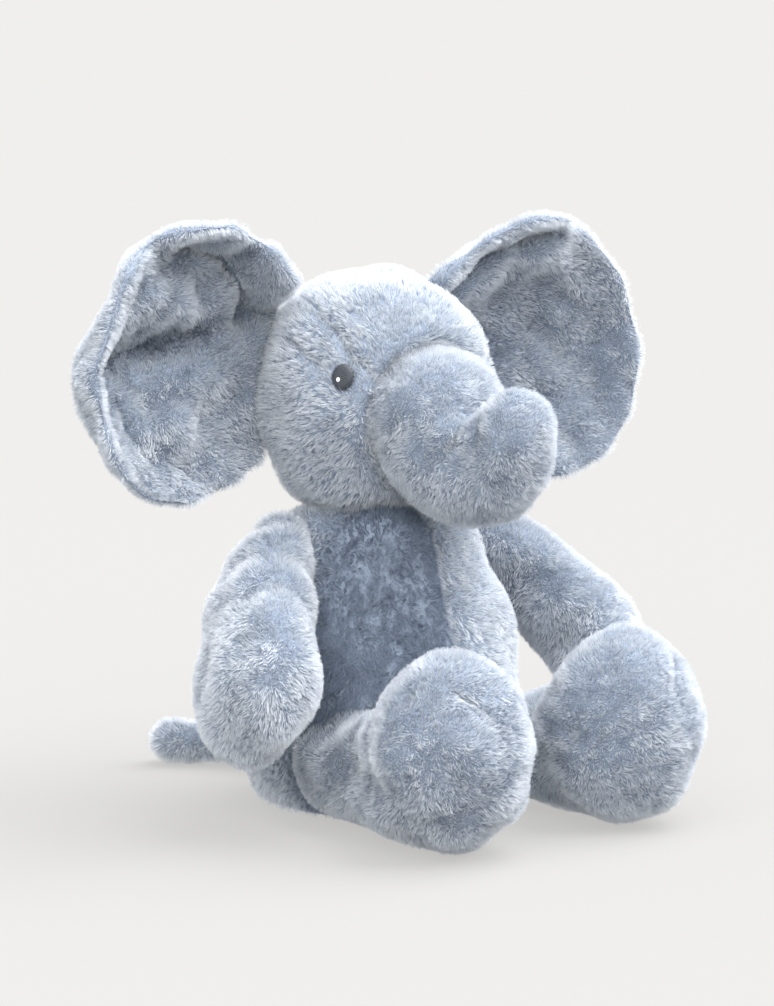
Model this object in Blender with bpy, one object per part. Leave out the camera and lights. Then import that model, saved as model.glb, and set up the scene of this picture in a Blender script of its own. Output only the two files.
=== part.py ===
"""Stuffed elephant sitting with its legs out in front.

Metres, +Z up, the toy faces -Y and its own left side is +X. The floor is z = 0 and the torso stands on
the origin. Every stuffed piece is built from the same closed rings three times over: the outer fur
surface, the inside of the cloth, and the filling, so covers and filling always nest with a gap.
"""

import math

import bmesh
import bpy
import numpy as np
from mathutils import Matrix, Vector

GAP = 0.0003            # clearance between pieces that touch
CLOTH = 0.0045          # backing cloth plus pile
POCKET_CLEARANCE = 0.0007

SHELL_SIDES = 20        # facets round a full cover
FILLING_SIDES = 14
SECTOR_GAP_DEG = 0.15   # half the gap between neighbouring panels of the torso and head
HULL_MERGE = 0.0008     # points closer than this are merged before a pocket's hull is made

# Torso: (height, half width, half depth), bottom to top
TORSO_RINGS = [
    (0.0004, 0.0535, 0.0535),
    (0.0060, 0.0605, 0.0605),
    (0.0200, 0.0665, 0.0660),
    (0.0450, 0.0700, 0.0690),
    (0.0700, 0.0685, 0.0670),
    (0.0950, 0.0620, 0.0605),
    (0.1150, 0.0540, 0.0525),
    (0.1300, 0.0440, 0.0430),
    (0.1370, 0.0340, 0.0340),
    (0.1400, 0.0275, 0.0275),
]
SEAT_RADIUS = 0.0530
SEAT_THICKNESS = 0.0045
# Inside of the cover where it turns in over the seat and under the head
TORSO_INNER_BOTTOM = [(SEAT_THICKNESS + 2 * GAP, 0.0535, 0.0535), (0.0075, 0.0555, 0.0555)]
TORSO_INNER_TOP = [(0.1330, 0.0300, 0.0300), (0.1365, 0.0245, 0.0245)]
BEAN_BAG_CENTRE = (0.0, 0.012, 0.0235)
BEAN_BAG_RADII = (0.034, 0.032, 0.012)

HEAD_CENTRE = (0.0, 0.0, 0.1975)
HEAD_RADIUS = 0.0606
HEAD_RING_COUNT = 13
NECK_PIVOT = (0.0, 0.0, 0.150)
NECK_TURN_DEG = 35.0
NECK_NOD_DEG = 12.0
HEAD_SWEEP_DEG = 70.0       # how much of the underside of the head reaches into the torso's hollow
NECK_STITCH_RADIUS = 0.0190
NECK_FILLING_TOP = 0.1390
NECK_STITCH_HEIGHT = 0.1353

EAR_SEAM_ANGLE_DEG = 23.0   # where the ears and the front and back panels meet, round from +X to +Y

EYE_POSITION = (0.0440, -0.0300, 0.2090)
EYE_HALF_WIDTH = 0.0055
EYE_HALF_HEIGHT = 0.0062
EYE_THICKNESS = 0.0016
EYE_SINK = 0.0010
HIGHLIGHT_RADIUS = 0.0011
HIGHLIGHT_ASIDE = 0.0016    # towards the back of the head
HIGHLIGHT_BELOW = 0.0016

TRUNK_PIVOT = (0.0, -0.0410, 0.1855)
# Trunk: (centre, half width, half depth); the first is the ball sewn into the face
TRUNK_STATIONS = [
    ((0.0, -0.0410, 0.1855), 0.0355, 0.0355),
    ((0.0, -0.0580, 0.1745), 0.0318, 0.0300),
    ((0.0, -0.0735, 0.1695), 0.0272, 0.0245),
    ((0.0, -0.0885, 0.1735), 0.0240, 0.0225),
    ((0.0, -0.1000, 0.1850), 0.0210, 0.0205),
]
TRUNK_UP_DEG = 18.0
TRUNK_DOWN_DEG = 10.0

ARM_STATIONS = [
    ((0.0500, 0.0030, 0.1340), 0.0140, 0.0140),
    ((0.0680, -0.0060, 0.1170), 0.0178, 0.0215),
    ((0.0850, -0.0200, 0.0965), 0.0212, 0.0305),
    ((0.0980, -0.0350, 0.0770), 0.0243, 0.0365),
    ((0.1025, -0.0420, 0.0695), 0.0248, 0.0375),
]
ARM_SWING_FORWARD_DEG = 20.0
ARM_SWING_BACK_DEG = 40.0
ARM_RAISE_DEG = 20.0
SHOULDER_STITCH_RADIUS = 0.0085
SHOULDER_STITCH_INSET = 0.0128

LEG_STATIONS = [
    ((0.0460, -0.0300, 0.0290), 0.0235, 0.0235),
    ((0.0490, -0.0600, 0.0285), 0.0245, 0.0250),
    ((0.0505, -0.0830, 0.0340), 0.0280, 0.0310),
    ((0.0515, -0.0990, 0.0430), 0.0345, 0.0410),
    ((0.0520, -0.1140, 0.0475), 0.0380, 0.0470),
]
LEG_UP_DEG = 22.0
LEG_DOWN_DEG = 25.0

TAIL_STATIONS = [
    ((0.0, 0.0600, 0.0230), 0.0100, 0.0100),
    ((-0.0030, 0.0840, 0.0155), 0.0097, 0.0097),
    ((-0.0150, 0.1100, 0.0115), 0.0104, 0.0104),
    ((-0.0310, 0.1270, 0.0118), 0.0110, 0.0110),
]
TAIL_SWING_DEG = 35.0

# Ear outline in its own plane: (outward from the seam, upward from the seam's middle)
EAR_OUTLINE = [
    (0.000, 0.026), (0.004, 0.052), (0.018, 0.072), (0.044, 0.083), (0.074, 0.078), (0.100, 0.057),
    (0.112, 0.028), (0.113, -0.003), (0.104, -0.030), (0.083, -0.048), (0.056, -0.055),
    (0.028, -0.051), (0.008, -0.041), (0.000, -0.030),
]
EAR_SEAM_MIDDLE = (0.0590, 0.0235, 0.2000)
EAR_BOWL_CENTRE = (0.062, 0.012)
EAR_BOWL_DEPTH = 0.016
EAR_THICKNESS = 0.0150
EAR_CLOTH = 0.0036
EAR_GROOVE_RADIUS = 0.0096  # half-round groove in the head that the ear's edge turns in
EAR_GROOVE_BELOW = 0.040
EAR_GROOVE_ABOVE = 0.036
EAR_RING_COUNT = 4
EAR_WADDING_SHARE = 0.93
EAR_SWEEP_DEG = 13.0        # the ears lie this far forward of straight out

STITCH_TUBE = 0.0010

FUR = (0.40, 0.47, 0.58)
FILL = (0.90, 0.90, 0.88)
THREAD = (0.32, 0.38, 0.48)
EYE_THREAD = (0.035, 0.04, 0.05)
WHITE_THREAD = (0.85, 0.86, 0.88)
BEAN_BAG = (0.78, 0.78, 0.74)


def make_material(name, colour, roughness):
    """One Principled material with a plain colour."""
    material = bpy.data.materials.new(name + "_material")
    material.use_nodes = True
    shader = material.node_tree.nodes["Principled BSDF"]
    shader.inputs["Base Color"].default_value = (*colour, 1.0)
    shader.inputs["Roughness"].default_value = roughness
    shader.inputs["Metallic"].default_value = 0.0
    material.diffuse_color = (*colour, 1.0)
    return material


def make_piece(name, points, faces, colour, pivot=(0.0, 0.0, 0.0), roughness=0.95):
    """A named closed object from points and faces, smooth shaded, with its origin on the pivot."""
    pivot = Vector(pivot)
    mesh = bpy.data.meshes.new(name)
    mesh.from_pydata([tuple(Vector(p) - pivot) for p in points], [], faces)
    body = bmesh.new()
    body.from_mesh(mesh)
    bmesh.ops.remove_doubles(body, verts=body.verts, dist=1e-6)
    bmesh.ops.recalc_face_normals(body, faces=body.faces)
    body.to_mesh(mesh)
    body.free()
    for polygon in mesh.polygons:
        polygon.use_smooth = True
    mesh.materials.append(make_material(name, colour, roughness))
    piece = bpy.data.objects.new(name, mesh)
    piece.location = pivot
    bpy.context.scene.collection.objects.link(piece)
    return piece


def make_cutter(name, points, faces):
    """A hidden closed solid used only to cut pockets."""
    cutter = make_piece(name, points, faces, THREAD)
    cutter.hide_render = True
    cutter.display_type = "WIRE"
    return cutter


def cut(piece, cutter):
    """Subtract a cutter from a piece."""
    modifier = piece.modifiers.new("pocket_" + cutter.name, "BOOLEAN")
    modifier.operation = "DIFFERENCE"
    modifier.solver = "EXACT"
    modifier.object = cutter


def smooth_curve(values, count):
    """Resample a short list of rows into count rows along a smooth Catmull-Rom curve."""
    rows = np.array(values, dtype=float)
    padded = np.vstack([2 * rows[0] - rows[1], rows, 2 * rows[-1] - rows[-2]])
    result = []
    for position in np.linspace(0.0, len(rows) - 1.0, count):
        index = min(int(position), len(rows) - 2)
        t = position - index
        before, start, end, after = padded[index:index + 4]
        result.append(
            0.5 * (
                2 * start
                + (end - before) * t
                + (2 * before - 5 * start + 4 * end - after) * t ** 2
                + (3 * start - before - 3 * end + after) * t ** 3
            )
        )
    return np.array(result)


def limb_sections(stations, side, level_rings=False, body_count=6, cap_count=4):
    """Centre, across, outward and along directions and half sizes of every ring of a round-ended limb.

    The first station is a ball, so the root can turn in a round pocket. The cap fractions say how far each
    end ring has closed, so a smaller copy of the limb keeps the same centres. Level rings all face along
    the floor, which keeps the feet flat on it.
    """
    rows = []
    for (x, y, z), outward, across in stations:
        rows.append([x * side, y, z, outward, across])
    path = smooth_curve(rows, body_count)
    centres = [Vector(row[:3]) for row in path]
    sections = []
    for index, row in enumerate(path):
        ahead = centres[min(index + 1, body_count - 1)] - centres[max(index - 1, 0)]
        along = Vector((0.0, -1.0, 0.0)) if level_rings else ahead.normalized()
        outward = Vector((side, 0.0, 0.0))
        outward = (outward - along * outward.dot(along)).normalized()
        across = along.cross(outward).normalized() * side
        sections.append([centres[index], along, outward, across, row[3], row[4], 0.0, 1.0])
    root = sections[0]
    tip = sections[-1]
    root_rings = []
    tip_rings = []
    for step in range(1, cap_count + 1):
        angle = 0.5 * math.pi * step / cap_count
        reach = math.sin(angle)
        narrow = max(math.cos(angle), 0.0)
        root_rings.insert(0, root[:6] + [-reach, narrow])
        tip_rings.append(tip[:6] + [reach, narrow])
    return root_rings + sections + tip_rings


def ring_points(section, inset, angles):
    """Points of one ring, shrunk by the inset."""
    centre, along, outward, across, half_out, half_across, reach, narrow = section
    half_out = half_out - inset
    half_across = half_across - inset
    cap_depth = 0.5 * (half_out + half_across)
    middle = centre + along * (reach * cap_depth)
    points = []
    for angle in angles:
        points.append(
            middle
            + outward * (math.cos(angle) * half_out * narrow)
            + across * (math.sin(angle) * half_across * narrow)
        )
    return points


def solid_of_rings(rings):
    """Points and faces of a closed solid; rings that have shrunk to a point are merged later."""
    count = len(rings[0])
    points = [point for ring in rings for point in ring]
    faces = []
    for row in range(len(rings) - 1):
        for column in range(count):
            following = (column + 1) % count
            faces.append((
                row * count + column,
                row * count + following,
                (row + 1) * count + following,
                (row + 1) * count + column,
            ))
    faces.append(tuple(range(count)))
    faces.append(tuple(range((len(rings) - 1) * count, len(rings) * count)))
    return points, faces


def close_poles(piece):
    """Remove the zero-area faces left where a ring has shrunk to a point."""
    body = bmesh.new()
    body.from_mesh(piece.data)
    bmesh.ops.dissolve_degenerate(body, edges=body.edges, dist=1e-6)
    bmesh.ops.recalc_face_normals(body, faces=body.faces)
    body.to_mesh(piece.data)
    body.free()


def shell_of_rings(outer, inner):
    """A curved thick panel between matching outer and inner grids of points."""
    rows = len(outer)
    columns = len(outer[0])
    points = [point for row in outer for point in row] + [point for row in inner for point in row]
    shift = rows * columns
    faces = []
    for row in range(rows - 1):
        for column in range(columns - 1):
            corner = row * columns + column
            faces.append((corner, corner + 1, corner + columns + 1, corner + columns))
            faces.append((
                shift + corner, shift + corner + columns, shift + corner + columns + 1, shift + corner + 1,
            ))
    for row in range(rows - 1):
        for column in (0, columns - 1):
            corner = row * columns + column
            faces.append((corner, corner + columns, shift + corner + columns, shift + corner))
    for row in (0, rows - 1):
        for column in range(columns - 1):
            corner = row * columns + column
            faces.append((corner, shift + corner, shift + corner + 1, corner + 1))
    return points, faces


def full_circle(count):
    return [2.0 * math.pi * step / count for step in range(count)]


def limb_panel(name, sections, first_deg, last_deg, shift, pivot):
    """Half of a limb's cover, moved off the seam by half the gap."""
    steps = SHELL_SIDES // 2
    angles = [math.radians(first_deg + (last_deg - first_deg) * step / steps) for step in range(steps + 1)]
    middle_angle = math.radians(0.5 * (first_deg + last_deg))
    outer = []
    inner = []
    for section in sections:
        nudge = (section[2] * math.cos(middle_angle) + section[3] * math.sin(middle_angle)) * shift
        outer.append([point + nudge for point in ring_points(section, 0.0, angles)])
        inner.append([point + nudge for point in ring_points(section, CLOTH, angles)])
    piece = make_piece(name, *shell_of_rings(outer, inner), FUR, pivot)
    close_poles(piece)
    return piece


def limb_filling(name, sections, pivot):
    """The stuffing inside a limb's cover."""
    angles = full_circle(FILLING_SIDES)
    rings = [ring_points(section, CLOTH + 3.0 * GAP, angles) for section in sections]
    piece = make_piece(name, *solid_of_rings(rings), FILL, pivot)
    close_poles(piece)
    return piece


def build_limb(name, halves, stations, side, level_rings=False):
    """Two cover panels and the filling of one limb."""
    sections = limb_sections(stations, side, level_rings)
    pivot = (stations[0][0][0] * side, stations[0][0][1], stations[0][0][2])
    first, second, split_deg = halves
    limb_panel(f"{name}_{first}_panel", sections, split_deg, split_deg + 180.0, 0.5 * GAP, pivot)
    limb_panel(f"{name}_{second}_panel", sections, split_deg + 180.0, split_deg + 360.0, 0.5 * GAP, pivot)
    limb_filling(f"{name}_filling", sections, pivot)
    return sections


def swept_pocket(name, sections, pivot, turns):
    """The hull of some rings of a limb in every extreme position, with clearance, as a cutter."""
    pivot = Vector(pivot)
    body = bmesh.new()
    for section in sections:
        for point in ring_points(section, -POCKET_CLEARANCE, full_circle(SHELL_SIDES)):
            for turn in turns:
                body.verts.new(turn @ (point - pivot) + pivot)
    bmesh.ops.remove_doubles(body, verts=body.verts, dist=HULL_MERGE)
    hull = bmesh.ops.convex_hull(body, input=body.verts)
    bmesh.ops.delete(body, geom=hull["geom_interior"], context="VERTS")
    points = [vert.co.copy() for vert in body.verts]
    order = {vert: index for index, vert in enumerate(body.verts)}
    faces = [tuple(order[vert] for vert in face.verts) for face in body.faces]
    body.free()
    return make_cutter(name, points, faces)


def turn_about(axis, *angles_deg):
    return [Matrix.Rotation(math.radians(angle), 3, Vector(axis)) for angle in angles_deg]


def sector_panel(name, profile, inner_profile, centre, first_deg, last_deg, pivot):
    """A panel of a body of revolution between two angles round the vertical axis."""
    first = first_deg + SECTOR_GAP_DEG
    last = last_deg - SECTOR_GAP_DEG
    steps = max(3, round(SHELL_SIDES * 1.3 * (last_deg - first_deg) / 360.0))
    angles = [math.radians(first + (last - first) * step / steps) for step in range(steps + 1)]

    def grid(rows):
        return [
            [
                Vector((centre[0] + wide * math.cos(angle), centre[1] + deep * math.sin(angle), height))
                for angle in angles
            ]
            for height, wide, deep in rows
        ]

    return make_piece(name, *shell_of_rings(grid(profile), grid(inner_profile)), FUR, pivot)


def revolved_solid(name, rows, centre, colour, pivot):
    """A closed solid stacked from level rings."""
    rings = [
        [
            Vector((centre[0] + wide * math.cos(angle), centre[1] + deep * math.sin(angle), height))
            for angle in full_circle(SHELL_SIDES)
        ]
        for height, wide, deep in rows
    ]
    return make_piece(name, *solid_of_rings(rings), colour, pivot)


def torus(name, centre, axis, radius, tube, colour, pivot, sides=20, tube_sides=6):
    """A closed ring about an axis."""
    turn = Vector((0.0, 0.0, 1.0)).rotation_difference(Vector(axis))
    centre = Vector(centre)
    points = []
    faces = []
    for step in range(sides):
        around = 2.0 * math.pi * step / sides
        for ring_step in range(tube_sides):
            through = 2.0 * math.pi * ring_step / tube_sides
            reach = radius + tube * math.cos(through)
            local = Vector((reach * math.cos(around), reach * math.sin(around), tube * math.sin(through)))
            points.append(turn @ local + centre)
            following = (step + 1) % sides
            next_ring = (ring_step + 1) % tube_sides
            faces.append((
                step * tube_sides + ring_step,
                following * tube_sides + ring_step,
                following * tube_sides + next_ring,
                step * tube_sides + next_ring,
            ))
    piece = make_piece(name, points, faces, colour, pivot)
    return piece


def stitch_ring(name, centre, axis, radius, pivot, hosts):
    """A ring of sewing thread in its own groove in the host pieces."""
    groove = torus("groove_" + name, centre, axis, radius, STITCH_TUBE + GAP, THREAD, pivot)
    groove.hide_render = True
    groove.display_type = "WIRE"
    for host in hosts:
        cut(host, groove)
    return torus(name, centre, axis, radius, STITCH_TUBE, THREAD, pivot)


def head_profile(inset):
    """Height and radius of the head's rings from just off the bottom pole to just off the top."""
    radius = HEAD_RADIUS - inset
    rows = []
    for step in range(HEAD_RING_COUNT):
        angle = math.radians(-84.0 + 168.0 * step / (HEAD_RING_COUNT - 1))
        reach = radius * math.cos(angle)
        rows.append((HEAD_CENTRE[2] + radius * math.sin(angle), reach, reach))
    return rows


def build_torso():
    """Two front panels, a back panel, the seat, the filling and the bag of beans that weights it."""
    inner = [(height, wide - CLOTH, deep - CLOTH) for height, wide, deep in TORSO_RINGS]
    inner[:2] = TORSO_INNER_BOTTOM
    inner[-2:] = TORSO_INNER_TOP
    sectors = [
        ("torso_front_left_panel", -90.0, 20.0),
        ("torso_back_panel", 20.0, 160.0),
        ("torso_front_right_panel", 160.0, 270.0),
    ]
    panels = []
    for name, first, last in sectors:
        panels.append(sector_panel(name, TORSO_RINGS, inner, (0.0, 0.0), first, last, (0, 0, 0)))
    seat_rows = [
        (0.0, SEAT_RADIUS - 0.001, SEAT_RADIUS - 0.001),
        (0.001, SEAT_RADIUS, SEAT_RADIUS),
        (SEAT_THICKNESS, SEAT_RADIUS, SEAT_RADIUS),
    ]
    seat = revolved_solid("torso_seat_panel", seat_rows, (0.0, 0.0), FUR, (0, 0, 0))
    filling_rows = []
    for height, wide, deep in inner:
        filling_rows.append((height, wide - 3 * GAP, deep - 3 * GAP))
    filling_rows.append((NECK_FILLING_TOP, filling_rows[-1][1], filling_rows[-1][2]))
    filling = revolved_solid("torso_filling", filling_rows, (0.0, 0.0), FILL, (0, 0, 0))
    return panels, seat, filling


def ellipsoid_rows(centre, radii, count):
    rows = []
    for step in range(count + 1):
        angle = -0.5 * math.pi + math.pi * step / count
        narrow = max(math.cos(angle), 0.0)
        rows.append((centre[2] + radii[2] * math.sin(angle), radii[0] * narrow, radii[1] * narrow))
    return rows


def build_bean_bag(filling):
    """A small bag of beans low in the seat, lying in an open-sided hollow of the filling."""
    rows = ellipsoid_rows(BEAN_BAG_CENTRE, BEAN_BAG_RADII, 8)
    bag = revolved_solid("seat_bean_bag", rows, BEAN_BAG_CENTRE, BEAN_BAG, (0, 0, 0))
    close_poles(bag)
    grown = [radius + GAP for radius in BEAN_BAG_RADII]
    hollow_rows = [
        (SEAT_THICKNESS - 0.001, grown[0], grown[1]),
        (BEAN_BAG_CENTRE[2], grown[0] + GAP, grown[1] + GAP),
    ]
    hollow_rows += [row for row in ellipsoid_rows(BEAN_BAG_CENTRE, grown, 8) if row[0] > BEAN_BAG_CENTRE[2] + 1e-4]
    hollow = revolved_solid("bean_bag_hollow", hollow_rows, BEAN_BAG_CENTRE, THREAD, (0, 0, 0))
    close_poles(hollow)
    hollow.hide_render = True
    hollow.display_type = "WIRE"
    cut(filling, hollow)


def build_head():
    """Left and right face panels, the back panel between the ears, and the filling."""
    seam = EAR_SEAM_ANGLE_DEG
    sectors = [
        ("head_left_panel", -90.0, seam),
        ("head_back_panel", seam, 180.0 - seam),
        ("head_right_panel", 180.0 - seam, 270.0),
    ]
    panels = []
    for name, first, last in sectors:
        panels.append(
            sector_panel(name, head_profile(0.0), head_profile(CLOTH), HEAD_CENTRE, first, last, NECK_PIVOT)
        )
    filling_rows = head_profile(CLOTH + 2 * GAP)
    filling = revolved_solid("head_filling", filling_rows, HEAD_CENTRE, FILL, NECK_PIVOT)
    return panels, filling


def head_sweep_cutter():
    """Everything the underside of the head can reach when it turns and nods."""
    pivot = Vector(NECK_PIVOT)
    body = bmesh.new()
    radius = HEAD_RADIUS + POCKET_CLEARANCE
    level_count = 8
    for step in range(level_count + 1):
        angle = math.radians(-90.0 + HEAD_SWEEP_DEG * step / level_count)
        for around in full_circle(SHELL_SIDES + 4):
            reach = radius * math.cos(angle)
            point = Vector((
                reach * math.cos(around), reach * math.sin(around), HEAD_CENTRE[2] + radius * math.sin(angle),
            ))
            for turn in turn_about((1, 0, 0), -NECK_NOD_DEG, 0.0, NECK_NOD_DEG):
                for spin in turn_about((0, 0, 1), -NECK_TURN_DEG, 0.0, NECK_TURN_DEG):
                    body.verts.new(spin @ (turn @ (point - pivot)) + pivot)
    bmesh.ops.remove_doubles(body, verts=body.verts, dist=2.0 * HULL_MERGE)
    hull = bmesh.ops.convex_hull(body, input=body.verts)
    bmesh.ops.delete(body, geom=hull["geom_interior"], context="VERTS")
    points = [vert.co.copy() for vert in body.verts]
    order = {vert: index for index, vert in enumerate(body.verts)}
    faces = [tuple(order[vert] for vert in face.verts) for face in body.faces]
    body.free()
    return make_cutter("head_sweep", points, faces)


def build_eye(side, hosts):
    """An embroidered oval sunk into the pile, with a small white stitch as its highlight."""
    centre = Vector((EYE_POSITION[0] * side, EYE_POSITION[1], EYE_POSITION[2]))
    normal = (centre - Vector(HEAD_CENTRE)).normalized()
    centre = Vector(HEAD_CENTRE) + normal * (HEAD_RADIUS - EYE_SINK)
    up = (Vector((0, 0, 1)) - normal * normal.z).normalized()
    right = up.cross(normal).normalized()
    word = "left" if side > 0 else "right"

    def disc(name, middle, half_wide, half_high, levels, colour):
        rings = []
        for level, scale in levels:
            rings.append([
                middle + normal * level
                + right * (math.cos(angle) * half_wide * scale)
                + up * (math.sin(angle) * half_high * scale)
                for angle in full_circle(16)
            ])
        piece = make_piece(name, *solid_of_rings(rings), colour, NECK_PIVOT, 0.6)
        return piece

    half = 0.5 * EYE_THICKNESS
    well = disc(
        f"eye_well_{word}", centre, EYE_HALF_WIDTH + GAP, EYE_HALF_HEIGHT + GAP,
        [(-half - GAP, 1.0), (half + 0.003, 1.0)], THREAD,
    )
    well.hide_render = True
    well.display_type = "WIRE"
    for host in hosts:
        cut(host, well)
    eye = disc(
        f"{word}_eye", centre, EYE_HALF_WIDTH, EYE_HALF_HEIGHT,
        [(-half, 0.96), (0.0, 1.0), (half, 0.9)], EYE_THREAD,
    )
    spot = centre + right * (HIGHLIGHT_ASIDE * side) - up * HIGHLIGHT_BELOW + normal * half
    recess = disc(
        f"highlight_recess_{word}", spot, HIGHLIGHT_RADIUS + GAP, HIGHLIGHT_RADIUS + GAP,
        [(-0.0006, 1.0), (0.002, 1.0)], THREAD,
    )
    recess.hide_render = True
    recess.display_type = "WIRE"
    cut(eye, recess)
    disc(
        f"{word}_eye_highlight", spot, HIGHLIGHT_RADIUS, HIGHLIGHT_RADIUS,
        [(-0.0003, 1.0), (0.0005, 0.85)], WHITE_THREAD,
    )


def ear_layer(side, levels):
    """Rings of an ear slice: each level is (offset through the ear, share of the outline's reach)."""
    middle = Vector((EAR_SEAM_MIDDLE[0] * side, EAR_SEAM_MIDDLE[1], EAR_SEAM_MIDDLE[2]))
    bowl = Vector(EAR_BOWL_CENTRE)
    sweep = math.radians(EAR_SWEEP_DEG)
    rings = []
    for offset, share in levels:
        depth = offset + EAR_BOWL_DEPTH * (1.0 - share ** 2)
        ring = []
        for corner in smooth_outline():
            flat = bowl + (corner - bowl) * share
            out = flat.x * math.cos(sweep) + depth * math.sin(sweep)
            back = depth * math.cos(sweep) - flat.x * math.sin(sweep)
            ring.append(middle + Vector((out * side, back, flat.y)))
        rings.append(ring)
    return rings


def smooth_outline():
    """The ear's outline with one extra point between each pair."""
    count = len(EAR_OUTLINE)
    points = []
    for index in range(count):
        before = Vector(EAR_OUTLINE[index - 1])
        start = Vector(EAR_OUTLINE[index])
        end = Vector(EAR_OUTLINE[(index + 1) % count])
        after = Vector(EAR_OUTLINE[(index + 2) % count])
        points.append(start)
        if index < count - 1:
            points.append((start + end) * 0.5625 - (before + after) * 0.0625)
    return points


def build_ear(side, hosts):
    """Front and back cloth of one ear with wadding between, hinged on its seam to the head."""
    word = "left" if side > 0 else "right"
    pivot = (EAR_SEAM_MIDDLE[0] * side, EAR_SEAM_MIDDLE[1], EAR_SEAM_MIDDLE[2])
    half = 0.5 * EAR_THICKNESS
    layers = [
        (f"{word}_ear_front_panel", -half, -half + EAR_CLOTH, 1.0, FUR),
        (f"{word}_ear_wadding", -half + EAR_CLOTH + GAP, half - EAR_CLOTH - GAP, EAR_WADDING_SHARE, FILL),
        (f"{word}_ear_back_panel", half - EAR_CLOTH, half, 1.0, FUR),
    ]
    for name, front, back, reach, colour in layers:
        shares = [reach * step / EAR_RING_COUNT for step in range(EAR_RING_COUNT + 1)]
        levels = [(front, share) for share in shares] + [(back, share) for share in reversed(shares)]
        piece = make_piece(name, *solid_of_rings(ear_layer(side, levels)), colour, pivot)
        close_poles(piece)
    groove_rings = []
    for height in (-EAR_GROOVE_BELOW, EAR_GROOVE_ABOVE):
        groove_rings.append([
            Vector((
                pivot[0] + EAR_GROOVE_RADIUS * math.cos(angle),
                pivot[1] + EAR_GROOVE_RADIUS * math.sin(angle),
                pivot[2] + height,
            ))
            for angle in full_circle(16)
        ])
    groove = make_cutter(f"ear_groove_{word}", *solid_of_rings(groove_rings))
    for host in hosts:
        cut(host, groove)


def main():
    for leftover in list(bpy.data.objects):
        bpy.data.objects.remove(leftover, do_unlink=True)

    torso_panels, seat, torso_filling = build_torso()
    build_bean_bag(torso_filling)
    head_panels, head_filling = build_head()
    torso_hosts = torso_panels + [torso_filling]
    head_hosts = head_panels + [head_filling]

    sweep = head_sweep_cutter()
    for host in torso_hosts:
        cut(host, sweep)
    neck_centre = (0.0, 0.0, NECK_STITCH_HEIGHT)
    stitch_ring("neck_stitching", neck_centre, (0, 0, 1), NECK_STITCH_RADIUS, NECK_PIVOT, torso_hosts)

    trunk_sections = build_limb("trunk", ("left", "right", -90.0), TRUNK_STATIONS, 1.0)
    trunk_turns = turn_about((1, 0, 0), -TRUNK_UP_DEG, 0.0, TRUNK_DOWN_DEG)
    for part, first, last in (("root", 0, 7), ("bend", 5, 9)):
        trunk_pocket = swept_pocket(f"trunk_{part}_pocket", trunk_sections[first:last], TRUNK_PIVOT, trunk_turns)
        for host in head_hosts:
            cut(host, trunk_pocket)

    tail_sections = build_limb("tail", ("left", "right", -90.0), TAIL_STATIONS, 1.0)
    tail_turns = turn_about((0, 0, 1), -TAIL_SWING_DEG, 0.0, TAIL_SWING_DEG)
    tail_pocket = swept_pocket("tail_pocket", tail_sections[:7], TAIL_STATIONS[0][0], tail_turns)
    for host in torso_hosts:
        cut(host, tail_pocket)

    for side, word in ((1.0, "left"), (-1.0, "right")):
        arm_sections = build_limb(f"{word}_arm", ("outer", "inner", -90.0), ARM_STATIONS, side)
        shoulder = Vector((ARM_STATIONS[0][0][0] * side, ARM_STATIONS[0][0][1], ARM_STATIONS[0][0][2]))
        arm_turns = []
        for swing in turn_about((1, 0, 0), -ARM_SWING_FORWARD_DEG, 0.0, ARM_SWING_BACK_DEG):
            for lift in turn_about((0, -side, 0), 0.0, ARM_RAISE_DEG):
                arm_turns.append(swing @ lift)
        arm_pocket = swept_pocket(f"{word}_arm_pocket", arm_sections[:9], shoulder, arm_turns)
        for host in torso_hosts:
            cut(host, arm_pocket)
        ring_centre = shoulder - Vector((SHOULDER_STITCH_INSET * side, 0.0, 0.0))
        stitch_ring(
            f"{word}_shoulder_stitching", ring_centre, (1, 0, 0), SHOULDER_STITCH_RADIUS, shoulder, torso_hosts,
        )
        leg_sections = build_limb(f"{word}_leg", ("outer", "inner", -90.0), LEG_STATIONS, side, True)
        hip = (LEG_STATIONS[0][0][0] * side, LEG_STATIONS[0][0][1], LEG_STATIONS[0][0][2])
        leg_turns = turn_about((1, 0, 0), -LEG_UP_DEG, 0.0, LEG_DOWN_DEG)
        leg_pocket = swept_pocket(f"{word}_leg_pocket", leg_sections[:8], hip, leg_turns)
        for host in torso_hosts + [seat]:
            cut(host, leg_pocket)
        build_ear(side, head_hosts)
        build_eye(side, head_panels[0:1] if side > 0 else head_panels[2:3])


main()
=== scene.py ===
"""Looks of the seated plush elephant: soft stuffed pieces under a short dense pile, on a pale floor.

Metres, +Z up, the toy faces -Y and its own left side is +X. Each piece is a closed soft skin a few
millimetres inside the toy's outline, and its pile of hair strands reaches out to that outline.
"""

import math

import bmesh
import bpy
import numpy as np
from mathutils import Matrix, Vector


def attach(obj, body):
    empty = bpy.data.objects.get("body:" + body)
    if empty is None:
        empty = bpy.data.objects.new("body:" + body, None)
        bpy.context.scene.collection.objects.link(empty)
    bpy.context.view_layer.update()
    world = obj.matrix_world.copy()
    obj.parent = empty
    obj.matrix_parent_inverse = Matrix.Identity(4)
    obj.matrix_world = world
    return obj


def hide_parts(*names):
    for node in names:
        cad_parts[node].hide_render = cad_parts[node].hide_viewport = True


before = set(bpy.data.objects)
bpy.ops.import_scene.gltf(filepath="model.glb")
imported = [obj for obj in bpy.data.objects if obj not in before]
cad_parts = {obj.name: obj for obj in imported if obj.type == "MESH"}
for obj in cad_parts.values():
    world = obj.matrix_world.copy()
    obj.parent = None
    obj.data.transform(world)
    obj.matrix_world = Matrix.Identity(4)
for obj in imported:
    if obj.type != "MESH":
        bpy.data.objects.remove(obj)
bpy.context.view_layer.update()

PILE = 0.0042               # length of a strand
PILE_LEAN = 0.80            # how far the brushed pile leans over
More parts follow.
